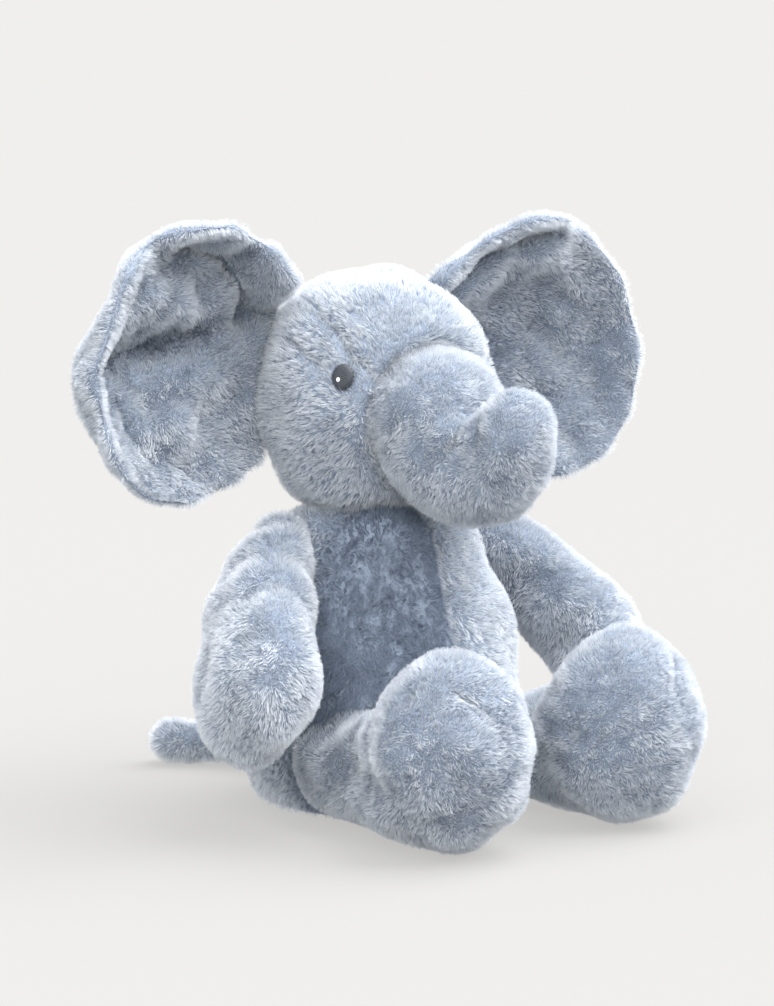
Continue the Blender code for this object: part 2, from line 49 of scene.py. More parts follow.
STRAND_RADIUS = 0.000090    # at the root
STRAND_TAPER = 0.72         # share of that radius lost at the tip
ROOT_DEPTH = 0.0004         # how far under the skin a strand starts
TUFT_SIZE = 0.0022
SKIN_INSET = 0.0031         # how far the skin lies inside the outline that the pile reaches
FLOOR_CLEARANCE = 0.0012    # the skins are flattened at this height
SEAM_THINNING = 0.75        # share of the strands missing along a seam
STRANDS_PER_M2 = 3.3e6

# Half widths of the head, and rings of the torso as half width, half depth and height
HEAD_CENTRE = np.array([0.0, 0.0030, 0.1962])
HEAD_RADII = np.array([0.0575, 0.0600, 0.0625])

TORSO_RINGS = [
    (0.0400, 0.0400, 0.0000), (0.0560, 0.0560, 0.0015), (0.0625, 0.0620, 0.0090), (0.0665, 0.0660, 0.0220),
    (0.0675, 0.0680, 0.0450), (0.0650, 0.0660, 0.0700), (0.0600, 0.0600, 0.0950), (0.0545, 0.0530, 0.1150),
    (0.0490, 0.0470, 0.1290), (0.0400, 0.0380, 0.1390), (0.0220, 0.0220, 0.1460),
]
TORSO_TOP = 0.1440          # height of the point that closes the torso, inside the head
TORSO_SEAM = [              # down the middle of the chest
    (0.0, -0.0400, 0.1380), (0.0, -0.0500, 0.1180), (0.0, -0.0570, 0.1000),
    (0.0, -0.0625, 0.0750), (0.0, -0.0640, 0.0400),
]

# Round limbs: place of the middle, half width outward and half width across
TRUNK_STATIONS = [
    ((0.0, -0.0410, 0.1885), 0.0368, 0.0368),
    ((0.0, -0.0590, 0.1725), 0.0330, 0.0315),
    ((0.0, -0.0740, 0.1650), 0.0275, 0.0265),
    ((0.0, -0.0880, 0.1700), 0.0240, 0.0235),
    ((0.0, -0.0990, 0.1850), 0.0210, 0.0210),
]
ARM_STATIONS = [
    ((0.0580, 0.0020, 0.1310), 0.0135, 0.0140),
    ((0.0715, -0.0070, 0.1170), 0.0195, 0.0235),
    ((0.0875, -0.0210, 0.0970), 0.0235, 0.0325),
    ((0.0990, -0.0360, 0.0780), 0.0252, 0.0380),
    ((0.1030, -0.0430, 0.0700), 0.0255, 0.0390),
]
LEFT_ARM_SLIMMER = 0.69     # the left arm's half width across, as a share of the right arm's
LEFT_ARM_HIGHER = 0.0030
LEG_STATIONS = [
    ((0.0460, -0.0340, 0.0290), 0.0250, 0.0260),
    ((0.0490, -0.0600, 0.0290), 0.0255, 0.0265),
    ((0.0505, -0.0830, 0.0340), 0.0290, 0.0320),
    ((0.0515, -0.0990, 0.0430), 0.0350, 0.0415),
    ((0.0520, -0.1140, 0.0475), 0.0390, 0.0470),
]
TAIL_STATIONS = [
    ((0.0, 0.0600, 0.0230), 0.0105, 0.0105),
    ((-0.0030, 0.0850, 0.0160), 0.0100, 0.0100),
    ((-0.0150, 0.1120, 0.0120), 0.0110, 0.0110),
    ((-0.0320, 0.1300, 0.0122), 0.0118, 0.0118),
]
EAR_OUTLINE = [
    (-0.024, 0.026), (-0.022, 0.047), (0.008, 0.071), (0.038, 0.083), (0.072, 0.079), (0.099, 0.058),
    (0.112, 0.028), (0.114, -0.002), (0.105, -0.029), (0.084, -0.048), (0.056, -0.055),
    (0.028, -0.052), (0.002, -0.044), (-0.014, -0.030), (-0.022, 0.000),
]
# Lines over the ear, as outward and upward from the middle of its seam: the folded rim, the seam inside it,
# the pleat under the left ear's rim, and the valley and the ridge across the right ear
EAR_RIM = [(0.060, 0.083), (0.038, 0.080), (0.012, 0.069), (-0.010, 0.050)]
EAR_RIM_SEAM = [
    (0.0580, 0.0750), (0.0425, 0.0705), (0.0225, 0.0655),
    (0.0075, 0.0530), (-0.0010, 0.0450), (-0.0015, 0.0310),
]
EAR_PLEAT = [(-0.006, 0.034), (0.014, 0.047), (0.034, 0.060), (0.062, 0.064)]
EAR_VALLEY = [(0.104, 0.012), (0.072, 0.0215), (0.046, 0.0235), (0.018, 0.0265), (-0.002, 0.036)]
EAR_RIDGE = [(0.008, 0.036), (0.027, 0.012), (0.041, -0.008), (0.048, -0.020)]
EAR_DISH = 0.020            # how far the ear's middle lies behind its edge
EAR_HALF_THICKNESS = 0.0045
EAR_SEAM_MIDDLE = np.array([0.0590, 0.0235, 0.2000])
EAR_BOWL = np.array([0.060, 0.012])
EAR_TILT = 0.0018           # the right ear sits this much higher than the middle and the left one lower
RIGHT_EAR_HEIGHT = 0.965    # of the left ear's
LEFT_EAR_SWEEP_DEG = 13.0   # the ears lie this far forward of straight out
RIGHT_EAR_SWEEP_DEG = 17.5
EYE_POSITION = np.array([0.0435, -0.0285, 0.2090])
EYE_BARE_RADIUS = 0.0058    # no pile grows this close to the middle of an eye
# Pulled creases on the right half of the head, mirrored on the left: two that run into the eye, the fold
# beside the trunk, and the seam to the ear
HEAD_CREASE_WIDTH = 0.0016
HEAD_CREASES = [
    [
        (0.0270, 0.0250, 0.2430), (0.0385, -0.0055, 0.2370),
        (0.0385, -0.0210, 0.2290), (0.0385, -0.0310, 0.2175),
    ],
    [(0.0475, 0.0060, 0.2245), (0.0490, -0.0060, 0.2195), (0.0475, -0.0175, 0.2145)],
    [(0.0355, -0.0350, 0.2160), (0.0335, -0.0390, 0.2115), (0.0320, -0.0415, 0.2050)],
    [
        (0.0420, 0.0300, 0.2330), (0.0485, 0.0320, 0.2150),
        (0.0495, 0.0320, 0.1950), (0.0470, 0.0300, 0.1620),
    ],
]
TRUNK_SEAM_RADIUS = 0.0362  # of the ball that the trunk starts from
EYE_HALF_WIDTH = 0.0055
EYE_HALF_HEIGHT = 0.0062
EYE_DOME = 0.0024           # how far the stitches stand out from the skin
STITCH_RELIEF = 0.00014

NECK_SEAM = (0.0, 0.0, 0.1348)
NECK_SEAM_RADIUS = 0.0190
SHOULDER_SEAM = (0.0368, 0.0030, 0.1340)
SHOULDER_SEAM_RADIUS = 0.0085
THREAD_RADIUS = 0.0007

BACKDROP_COLOUR = (0.871, 0.863, 0.847, 1.0)
FLOOR_COLOUR = (0.1145, 0.1135, 0.1115, 1.0)
FLOOR_GLOW = 0.57
FLOOR_FADE = (0.45, 1.6)    # distances over which the floor turns into the even backdrop
DOME_STRENGTH = 1.35
KEY_STRENGTH = 6.0
FILL_STRENGTH = 2.9

CAMERA_AZIMUTH_DEG = -38.5
CAMERA_ELEVATION_DEG = 7.0
CAMERA_DISTANCE = 1.60
CAMERA_TARGET = (0.0035, -0.0020, 0.1440)
CAMERA_LENS = 119.0


# ---------------------------------------------------------------- numbers and fields

def unit(vectors):
    """Vectors scaled to length one."""
    return vectors / np.maximum(np.linalg.norm(vectors, axis=-1, keepdims=True), 1e-12)


class Waves:
    """Smooth noise: a sum of sine waves with seeded directions, about the given feature size."""

    def __init__(self, seed, feature, count=14):
        source = np.random.default_rng(seed)
        self.vectors = unit(source.normal(size=(count, 3))) * (2.0 * math.pi / feature)
        self.vectors *= source.uniform(0.6, 1.5, size=(count, 1))
        self.phases = source.uniform(0.0, 2.0 * math.pi, size=count)
        self.scale = math.sqrt(2.0 / count)

    def __call__(self, points):
        return np.sin(points @ self.vectors.T + self.phases).sum(axis=1) * self.scale


def offset_from_path(points, path):
    """Vector to each point from the nearest place on a polyline, and its length."""
    path = np.array(path, dtype=float)
    best = np.full(len(points), np.inf)
    offsets = np.zeros_like(points)
    for start, end in zip(path[:-1], path[1:]):
        along = end - start
        share = np.clip((points - start) @ along / max(along @ along, 1e-12), 0.0, 1.0)
        offset = points - (start + share[:, None] * along)
        distance = np.linalg.norm(offset, axis=1)
        nearer = distance < best
        best = np.where(nearer, distance, best)
        offsets[nearer] = offset[nearer]
    return offsets, best


def near_path(points, path, width):
    """One on a polyline, falling to nothing a few widths away from it."""
    _, distance = offset_from_path(points, path)
    return np.exp(-(distance / width) ** 2)


def near_point(points, centre, width):
    """One at a point, falling to nothing a few widths away from it."""
    return np.exp(-(np.linalg.norm(points - centre, axis=1) / width) ** 2)


def meeting_circle(first, first_radius, second, second_radius, count=48):
    """The circle where two spheres meet, as a closed polyline."""
    apart = np.linalg.norm(second - first)
    axis = (second - first) / apart
    reach = (apart ** 2 + first_radius ** 2 - second_radius ** 2) / (2.0 * apart)
    radius = math.sqrt(first_radius ** 2 - reach ** 2)
    across = unit(np.cross(axis, (1.0, 0.0, 0.0)))
    upward = np.cross(axis, across)
    angles = np.linspace(0.0, 2.0 * math.pi, count + 1)
    around = np.outer(np.cos(angles), across) + np.outer(np.sin(angles), upward)
    return first + axis * reach + radius * around


def crease(points, path, width, depth):
    """Inward offset of a soft crease along a polyline."""
    return -depth * near_path(points, path, width)


def side_word(side):
    return "left" if side > 0 else "right"


def smooth_curve(rows, count, closed=False):
    """Resample rows into count rows along a Catmull-Rom curve."""
    rows = np.array(rows, dtype=float)
    if closed:
        padded = np.vstack([rows[-1], rows, rows[0], rows[1]])
        spans = len(rows)
        positions = np.arange(count) * spans / count
    else:
        padded = np.vstack([2 * rows[0] - rows[1], rows, 2 * rows[-1] - rows[-2]])
        spans = len(rows) - 1
        positions = np.linspace(0.0, spans, count)
    result = []
    for position in positions:
        index = min(int(position), spans - 1)
        t = position - index
        before, start, end, after = padded[index:index + 4]
        result.append(0.5 * (
            2 * start
            + (end - before) * t
            + (2 * before - 5 * start + 4 * end - after) * t ** 2
            + (3 * start - before - 3 * end + after) * t ** 3
        ))
    return np.array(result)


# ---------------------------------------------------------------- skins

def skin_object(name, points, faces):
    """A closed smooth mesh piece with outward normals."""
    mesh = bpy.data.meshes.new(name)
    mesh.from_pydata([tuple(p) for p in points], [], faces)
    body = bmesh.new()
    body.from_mesh(mesh)
    bmesh.ops.remove_doubles(body, verts=body.verts, dist=1e-6)
    bmesh.ops.recalc_face_normals(body, faces=body.faces)
    body.to_mesh(mesh)
    body.free()
    mesh.polygons.foreach_set("use_smooth", [True] * len(mesh.polygons))
    piece = bpy.data.objects.new(name, mesh)
    bpy.context.scene.collection.objects.link(piece)
    return piece


def grid_faces(rows, columns):
    """Faces of a tube of rings, closed at both ends."""
    faces = []
    for row in range(rows - 1):
        for column in range(columns):
            following = (column + 1) % columns
            faces.append((
                row * columns + column,
                row * columns + following,
                (row + 1) * columns + following,
                (row + 1) * columns + column,
            ))
    return faces


def round_limb(name, stations, side, body_rings=34, cap_rings=12, columns=72, level=False):
    """A round-ended soft limb along a curved path, shrunk by the skin inset."""
    rows = [[x * side, y, z, out, across] for (x, y, z), out, across in stations]
    path = smooth_curve(rows, body_rings)
    centres = path[:, :3]
    angles = np.linspace(0.0, 2.0 * math.pi, columns, endpoint=False)
    rings = []
    frames = []
    for index in range(body_rings):
        ahead = centres[min(index + 1, body_rings - 1)] - centres[max(index - 1, 0)]
        along = np.array([0.0, -1.0, 0.0]) if level else unit(ahead)
        outward = np.array([float(side), 0.0, 0.0])
        outward = unit(outward - along * (outward @ along))
        across = np.cross(along, outward) * side
        frames.append((along, outward, across))

    def ring(index, reach, narrow):
        along, outward, across = frames[index]
        half_out = path[index, 3] - SKIN_INSET
        half_across = path[index, 4] - SKIN_INSET
        middle = centres[index] + along * (reach * 0.5 * (half_out + half_across))
        return (
            middle
            + np.outer(np.cos(angles), outward) * half_out * narrow
            + np.outer(np.sin(angles), across) * half_across * narrow
        )

    for step in range(cap_rings, 0, -1):
        angle = 0.5 * math.pi * step / cap_rings
        rings.append(ring(0, -math.sin(angle), math.cos(angle)))
    for index in range(body_rings):
        rings.append(ring(index, 0.0, 1.0))
    for step in range(1, cap_rings + 1):
        angle = 0.5 * math.pi * step / cap_rings
        rings.append(ring(body_rings - 1, math.sin(angle), math.cos(angle)))
    points = np.vstack(rings)
    return skin_object(name, points, grid_faces(len(rings), columns))


def vertex_arrays(piece):
    """Positions and normals of a mesh's vertices."""
    mesh = piece.data
    count = len(mesh.vertices)
    points = np.empty(count * 3)
    mesh.vertices.foreach_get("co", points)
    normals = np.empty(count * 3)
    mesh.vertex_normals.foreach_get("vector", normals)
    return points.reshape(-1, 3), normals.reshape(-1, 3)


def shape(piece, offset_of):
    """Push vertices along their normals by offset_of(points)."""
    points, normals = vertex_arrays(piece)
    moved = points + normals * offset_of(points)[:, None]
    piece.data.vertices.foreach_set("co", moved.ravel())
    piece.data.update()


def keep_off_floor(piece):
    """Flatten whatever dips to the floor."""
    points, _ = vertex_arrays(piece)
    points[:, 2] = np.maximum(points[:, 2], FLOOR_CLEARANCE)
    piece.data.vertices.foreach_set("co", points.ravel())
    piece.data.update()


# ---------------------------------------------------------------- pile

def skin_samples(piece, count, source):
    """Random points spread evenly over a mesh, with their smooth normals."""
    mesh = piece.data
    mesh.calc_loop_triangles()
    triangles = np.empty(len(mesh.loop_triangles) * 3, dtype=np.int32)
    mesh.loop_triangles.foreach_get("vertices", triangles)
    triangles = triangles.reshape(-1, 3)
    points, normals = vertex_arrays(piece)
    a, b, c = (points[triangles[:, corner]] for corner in range(3))
    areas = 0.5 * np.linalg.norm(np.cross(b - a, c - a), axis=1)
    chosen = source.choice(len(triangles), size=count, p=areas / areas.sum())
    first = np.sqrt(source.random(count))
    second = source.random(count)
    weights = np.stack([1.0 - first, first * (1.0 - second), first * second], axis=1)
    corners = triangles[chosen]
    roots = np.einsum("nk,nkd->nd", weights, points[corners])
    outward = unit(np.einsum("nk,nkd->nd", weights, normals[corners]))
    return roots, outward


def skin_area(piece):
    return sum(polygon.area for polygon in piece.data.polygons)


def grow_pile(piece, comb, seed, keep=None, seams=(), ruffled=None):
    """Strands of pile over a piece, thinner, shorter and parted along its seams.

    comb(points, normals) gives the way the pile is brushed, keep(points) a 0 to 1 mask of where it grows
    and the shade mask a 0 to 1 mask of painted shade, where the dark root colour reaches further up the
    strands.
    """
    source = np.random.default_rng(seed)
    count = int(skin_area(piece) * STRANDS_PER_M2)
    roots, normals = skin_samples(piece, count, source)
    if keep is not None:
        kept = source.random(count) < keep(roots)
        roots, normals = roots[kept], normals[kept]
        count = len(roots)
    parting = np.zeros_like(roots)
    seam_strength = np.zeros(count)
    for path, width in seams:
        away, distance = offset_from_path(roots, path)
        strength = np.exp(-(distance / width) ** 2)
        parting += unit(away) * strength[:, None]
        seam_strength = np.maximum(seam_strength, strength)
    kept = source.random(count) > SEAM_THINNING * seam_strength ** 2
    roots, normals, parting, seam_strength = roots[kept], normals[kept], parting[kept], seam_strength[kept]
    count = len(roots)

    brushed = comb(roots, normals) * (1.0 - 0.6 * seam_strength)[:, None] + 1.8 * parting
    swirl = np.stack([Waves(seed + 11 + axis, 0.022)(roots) for axis in range(3)], axis=1)
    fine_swirl = np.stack([Waves(seed + 21 + axis, 0.007)(roots) for axis in range(3)], axis=1)
    brushed = brushed + 0.32 * swirl + 0.22 * fine_swirl
    brushed = brushed - normals * np.einsum("nd,nd->n", brushed, normals)[:, None]
    leaning = PILE_LEAN * (0.75 + 0.35 * Waves(seed + 31, 0.016)(roots))[:, None]

    wobble = np.stack([Waves(seed + 41 + axis, 0.006)(roots) for axis in range(3)], axis=1) * 0.0012
    cell = np.floor((roots + wobble) / TUFT_SIZE).astype(np.int64)
    key = (cell[:, 0] * 73856093) ^ (cell[:, 1] * 19349663) ^ (cell[:, 2] * 83492791)
    _, tuft, sizes = np.unique(key, return_inverse=True, return_counts=True)
    centres = np.stack([np.bincount(tuft, roots[:, axis]) / sizes for axis in range(3)], axis=1)[tuft]
    tuft_way = source.normal(size=(len(sizes), 3))[tuft] * 0.11
    tuft_length = (1.0 + 0.06 * source.normal(size=len(sizes)))[tuft]

    lengths = PILE * tuft_length * source.uniform(0.80, 1.04, size=count)
    lengths *= 1.0 - 0.45 * seam_strength
    # Random mottle of how far the dark root colour reaches up each strand, plus painted shade from the
    # shade mask and, stronger, along the seams
    pile_mottle_and_shade = 0.03 + 0.10 * Waves(seed + 51, 0.0035)(roots) + 0.05 * Waves(seed + 52, 0.014)(roots)
    if ruffled is not None:
        pile_mottle_and_shade += ruffled(roots)
    pile_mottle_and_shade = np.clip(pile_mottle_and_shade + 0.5 * seam_strength, 0.0, 1.0)
    stray = source.normal(size=(count, 3)) * 0.09
    steps = np.array([0.0, 0.34, 0.67, 1.0])
    strand = np.empty((count, len(steps), 3), dtype=np.float32)
    tip_way = unit(normals + brushed * leaning + tuft_way + stray)
    for index, t in enumerate(steps):
        rise = unit(normals * (1.0 - 0.45 * t) + tip_way * (0.25 + 0.75 * t))
        place = roots + rise * (lengths * t)[:, None]
        gather = (centres - roots) * (0.30 * t ** 1.5)
        strand[:, index] = place + gather - normals * ROOT_DEPTH
    curves = bpy.data.hair_curves.new(piece.name + "_pile")
    curves.add_curves([len(steps)] * count)
    curves.points.foreach_set("position", strand.ravel())
    radius = STRAND_RADIUS * (1.0 - STRAND_TAPER * steps)
    curves.points.foreach_set("radius", np.tile(radius, count))
    # Per strand attribute of random mottle and painted shade, read by the pile material
    shade_attribute = curves.attributes.new("pile_mottle_and_shade", "FLOAT", "CURVE")
    shade_attribute.data.foreach_set("value", pile_mottle_and_shade.astype(np.float32))
    curves.materials.append(PILE_MATERIAL)
    pile = bpy.data.objects.new(piece.name + "_pile", curves)
    bpy.context.scene.collection.objects.link(pile)
    pile.parent = piece


# ---------------------------------------------------------------- materials

def plush_skin_material():
    """Backing and root of the pile: mottled blue grey with a fine fibrous grain, darker than the pile's
    tips, partly as the fabric's tone and partly as painted shade under the pile.
    """
    material = bpy.data.materials.new("plush_skin")
    material.use_nodes = True
    tree = material.node_tree
    shader = tree.nodes["Principled BSDF"]
    shader.inputs["Roughness"].default_value = 0.95
    shader.inputs["Sheen Weight"].default_value = 0.6
    shader.inputs["Sheen Roughness"].default_value = 0.5
    shader.inputs["Sheen Tint"].default_value = (0.75, 0.83, 0.95, 1.0)
    place = tree.nodes.new("ShaderNodeTexCoord")
    patches = tree.nodes.new("ShaderNodeTexNoise")
    patches.inputs["Scale"].default_value = 60.0
    patches.inputs["Detail"].default_value = 6.0
    tree.links.new(place.outputs["Object"], patches.inputs["Vector"])
    fibres = tree.nodes.new("ShaderNodeTexNoise")
    fibres.inputs["Scale"].default_value = 900.0
    fibres.inputs["Detail"].default_value = 3.0
    tree.links.new(place.outputs["Object"], fibres.inputs["Vector"])
    both = tree.nodes.new("ShaderNodeMix")
    both.data_type = "FLOAT"
    both.inputs["Factor"].default_value = 0.5
    tree.links.new(patches.outputs["Fac"], both.inputs["A"])
    tree.links.new(fibres.outputs["Fac"], both.inputs["B"])
    # Dark blue grey tones: partly the fabric's tone, partly painted shade under the pile; the mottle and
    # grain are the fabric's own
    ramp = tree.nodes.new("ShaderNodeValToRGB")
    ramp.color_ramp.elements[0].position = 0.32
    ramp.color_ramp.elements[0].color = (0.17, 0.21, 0.28, 1.0)
    ramp.color_ramp.elements[1].position = 0.68
    ramp.color_ramp.elements[1].color = (0.36, 0.42, 0.52, 1.0)
    tree.links.new(both.outputs["Result"], ramp.inputs["Fac"])
    tree.links.new(ramp.outputs["Color"], shader.inputs["Base Color"])
    bump = tree.nodes.new("ShaderNodeBump")
    bump.inputs["Strength"].default_value = 0.6
    bump.inputs["Distance"].default_value = 0.0008
    tree.links.new(fibres.outputs["Fac"], bump.inputs["Height"])
    tree.links.new(bump.outputs["Normal"], shader.inputs["Normal"])
    return material


def pile_material():
    """Strands: pale blue grey at the tip, darkening towards slate at the root as painted shade deep in the
    pile, and a little different from strand to strand.

    Where the mottle and shade attribute is high the dark root colour reaches further up the strand, as more
    painted shade.
    """
    material = bpy.data.materials.new("plush_pile")
    material.use_nodes = True
    tree = material.node_tree
    shader = tree.nodes["Principled BSDF"]
    shader.inputs["Roughness"].default_value = 0.85
    shader.inputs["Specular IOR Level"].default_value = 0.05
    info = tree.nodes.new("ShaderNodeHairInfo")
    # Root end of the ramp: slate, painted shade deep in the pile; the tip end is the pile's pale blue grey
    ramp = tree.nodes.new("ShaderNodeValToRGB")
    ramp.color_ramp.elements[0].position = 0.08
    ramp.color_ramp.elements[0].color = (0.23, 0.28, 0.365, 1.0)
    ramp.color_ramp.elements[1].position = 0.75
    ramp.color_ramp.elements[1].color = (0.80, 0.835, 0.88, 1.0)
    middle = ramp.color_ramp.elements.new(0.34)
    middle.color = (0.68, 0.725, 0.79, 1.0)
    # The mottle and painted shade attribute pulls the dark root colour further up the strand
    shade_attribute = tree.nodes.new("ShaderNodeAttribute")
    shade_attribute.attribute_name = "pile_mottle_and_shade"
    reach = tree.nodes.new("ShaderNodeMath")
    reach.operation = "MULTIPLY_ADD"
    reach.inputs[1].default_value = -0.95
    reach.inputs[2].default_value = 1.0
    tree.links.new(shade_attribute.outputs["Fac"], reach.inputs[0])
    along = tree.nodes.new("ShaderNodeMath")
    along.operation = "MULTIPLY"
    tree.links.new(info.outputs["Intercept"], along.inputs[0])
    tree.links.new(reach.outputs["Value"], along.inputs[1])
    tree.links.new(along.outputs["Value"], ramp.inputs["Fac"])
    vary = tree.nodes.new("ShaderNodeHueSaturation")
    spread = tree.nodes.new("ShaderNodeMapRange")
    spread.inputs["To Min"].default_value = 0.78
    spread.inputs["To Max"].default_value = 1.10
    tree.links.new(info.outputs["Random"], spread.inputs["Value"])
    tree.links.new(spread.outputs["Result"], vary.inputs["Value"])
    tree.links.new(ramp.outputs["Color"], vary.inputs["Color"])
    tree.links.new(vary.outputs["Color"], shader.inputs["Base Color"])
    return material


def thread_material(name, dark, light):
    """Embroidery thread: fine glossy ribs with a little variation."""
    material = bpy.data.materials.new(name)
    material.use_nodes = True
    tree = material.node_tree
    shader = tree.nodes["Principled BSDF"]
    shader.inputs["Roughness"].default_value = 0.45
    shader.inputs["Sheen Weight"].default_value = 0.2
    place = tree.nodes.new("ShaderNodeTexCoord")
    noise = tree.nodes.new("ShaderNodeTexNoise")
    noise.inputs["Scale"].default_value = 1400.0
    tree.links.new(place.outputs["Object"], noise.inputs["Vector"])
    ramp = tree.nodes.new("ShaderNodeValToRGB")
    ramp.color_ramp.elements[0].color = (*dark, 1.0)
    ramp.color_ramp.elements[1].color = (*light, 1.0)
    tree.links.new(noise.outputs["Fac"], ramp.inputs["Fac"])
    tree.links.new(ramp.outputs["Color"], shader.inputs["Base Color"])
    bump = tree.nodes.new("ShaderNodeBump")
    bump.inputs["Strength"].default_value = 0.4
    bump.inputs["Distance"].default_value = 0.0002
    tree.links.new(noise.outputs["Fac"], bump.inputs["Height"])
    tree.links.new(bump.outputs["Normal"], shader.inputs["Normal"])
    return material


SKIN = plush_skin_material()
PILE_MATERIAL = pile_material()
EYE_THREAD = thread_material("eye_thread", (0.012, 0.015, 0.022), (0.05, 0.06, 0.08))
SEAM_THREAD = thread_material("seam_thread", (0.16, 0.20, 0.27), (0.34, 0.40, 0.50))
WHITE_THREAD = thread_material("white_thread", (0.75, 0.78, 0.82), (0.92, 0.94, 0.97))


def finish_piece(piece, body, nodes, comb, seed, fill=0.8, **pile):
    """Material, pile and place in the frame for one stuffed piece; its CAD nodes are hidden."""
    piece.data.materials.append(SKIN)
    grow_pile(piece, comb, seed, **pile)
    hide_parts(*nodes)
    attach(piece, body)


# ---------------------------------------------------------------- pieces

def comb_along(direction):
    """Pile brushed towards one direction everywhere."""
    way = np.array(direction, dtype=float)
    return lambda points, normals: np.tile(way, (len(points), 1))


def above(height):
    """A mask that keeps pile off whatever lies lower than this."""
    return lambda points: (points[:, 2] > height).astype(float)


def trunk_seam_path():
    """The round seam between the trunk and the face."""
    return meeting_circle(
        HEAD_CENTRE, HEAD_RADII[1] - SKIN_INSET, np.array(TRUNK_STATIONS[0][0]), TRUNK_SEAM_RADIUS,
    )


def build_head():
    body = bmesh.new()
    bmesh.ops.create_icosphere(body, subdivisions=6, radius=1.0)
    mesh = bpy.data.meshes.new("head")
    body.to_mesh(mesh)
    body.free()
    piece = bpy.data.objects.new("head", mesh)
    bpy.context.scene.collection.objects.link(piece)
    points, _ = vertex_arrays(piece)
    points = points * (HEAD_RADII - SKIN_INSET) + HEAD_CENTRE
    mesh.vertices.foreach_set("co", points.ravel())
    mesh.polygons.foreach_set("use_smooth", [True] * len(mesh.polygons))
    mesh.update()

    trunk_seam = trunk_seam_path()
    eyes = [EYE_POSITION * (side, 1.0, 1.0) for side in (-1.0, 1.0)]
    creases = []
    for side in (-1.0, 1.0):
        for path in HEAD_CREASES:
            creases.append([np.array(place) * (side, 1.0, 1.0) for place in path])

    def offsets(points):
        result = crease(points, trunk_seam, width=0.0050, depth=0.0060)
        for eye in eyes:
            result += -0.0020 * near_point(points, eye, 0.009)
        for path in creases:
            result += crease(points, path, width=1.4 * HEAD_CREASE_WIDTH, depth=0.0036)
        result += 0.0012 * Waves(5, 0.045)(points)
        return result

    shape(piece, offsets)

    def comb(points, normals):
        return unit(points - (0.0, -0.075, 0.190))

    def keep(points):
        result = np.ones(len(points))
        for eye in eyes:
            result = np.where(np.linalg.norm(points - eye, axis=1) < EYE_BARE_RADIUS, 0.0, result)
        return result

    nodes = ["head_left_panel", "head_right_panel", "head_back_panel", "head_filling"]
    seams = [(trunk_seam, 0.0022)] + [(path, HEAD_CREASE_WIDTH) for path in creases]
    finish_piece(piece, "head", nodes, comb, seed=100, keep=keep, seams=seams)


def build_torso():
    underside = 0.0015
    rows = smooth_curve(TORSO_RINGS, 70)
    angles = np.linspace(0.0, 2.0 * math.pi, 110, endpoint=False)
    rings = [np.tile([0.0, 0.0, underside], (len(angles), 1))]
    for wide, deep, height in rows:
        rings.append(np.stack([
            np.cos(angles) * (wide - SKIN_INSET),
            np.sin(angles) * (deep - SKIN_INSET),
            np.full(len(angles), max(height, underside)),
        ], axis=1))
    rings.append(np.tile([0.0, 0.0, TORSO_TOP], (len(angles), 1)))
    piece = skin_object("torso", np.vstack(rings), grid_faces(len(rings), len(angles)))

    def offsets(points):
        result = crease(points, TORSO_SEAM, width=0.0030, depth=0.0026)
        result += 0.0015 * Waves(7, 0.05)(points) * (points[:, 2] > 0.01)
        return result

    shape(piece, offsets)
    keep_off_floor(piece)
    nodes = [
        "torso_front_left_panel", "torso_front_right_panel", "torso_back_panel", "torso_seat_panel",
        "torso_filling", "seat_bean_bag",
    ]

    def ruffled(points):
        """The right half of the chest: painted shade from the head and arm above it, where the pile is also
        seen end-on.
        """
        return np.clip(-points[:, 0] / 0.006, 0.0, 1.0) * np.clip(-points[:, 1] / 0.025, 0.0, 1.0)

    comb = comb_along((0.0, 0.0, -1.0))
    seams = [(TORSO_SEAM, 0.0016)]
    finish_piece(piece, "torso", nodes, comb, seed=200, keep=above(0.004), seams=seams, ruffled=ruffled)


def build_trunk():
    piece = round_limb("trunk", TRUNK_STATIONS, 1.0)

    saddle = [
        (-0.026, -0.048, 0.1770), (-0.018, -0.058, 0.1850),
        (-0.006, -0.078, 0.1950), (0.010, -0.078, 0.1950),
    ]
    seam = trunk_seam_path()
    tip = np.array([-0.010, -0.108, 0.1800])

    def offsets(points):
        result = crease(points, saddle, width=0.0060, depth=0.0040)
        result += crease(points, seam, width=0.0040, depth=0.0030)
        return result + 0.0010 * Waves(9, 0.03)(points)

    shape(piece, offsets)

    def comb(points, normals):
        return unit(points - (0.0, -0.020, 0.190))

    # Painted shade at the end of the trunk, where the pile is seen end-on
    def ruffled(points):
        return 0.35 * near_point(points, tip, 0.013)

    nodes = ["trunk_left_panel", "trunk_right_panel", "trunk_filling"]
    seams = [(seam, 0.0022), (saddle, 0.0020)]
    finish_piece(piece, "trunk", nodes, comb, seed=300, seams=seams, ruffled=ruffled)


def build_arm(side):
    word = side_word(side)
    across_share = LEFT_ARM_SLIMMER if side > 0 else 1.0
    higher = LEFT_ARM_HIGHER if side > 0 else 0.0
    stations = [
        ((x, y, z + higher), out, across * across_share)
        for (x, y, z), out, across in ARM_STATIONS
    ]
    piece = round_limb(f"{word}_arm", stations, side)

    def offsets(points):
        return 0.0012 * Waves(13 + int(side), 0.035)(points)

    shape(piece, offsets)
    nodes = [f"{word}_arm_outer_panel", f"{word}_arm_inner_panel", f"{word}_arm_filling"]
    comb = comb_along((0.4 * side, -0.3, -0.9))
    finish_piece(piece, f"{word}_arm", nodes, comb, seed=400 + int(side))


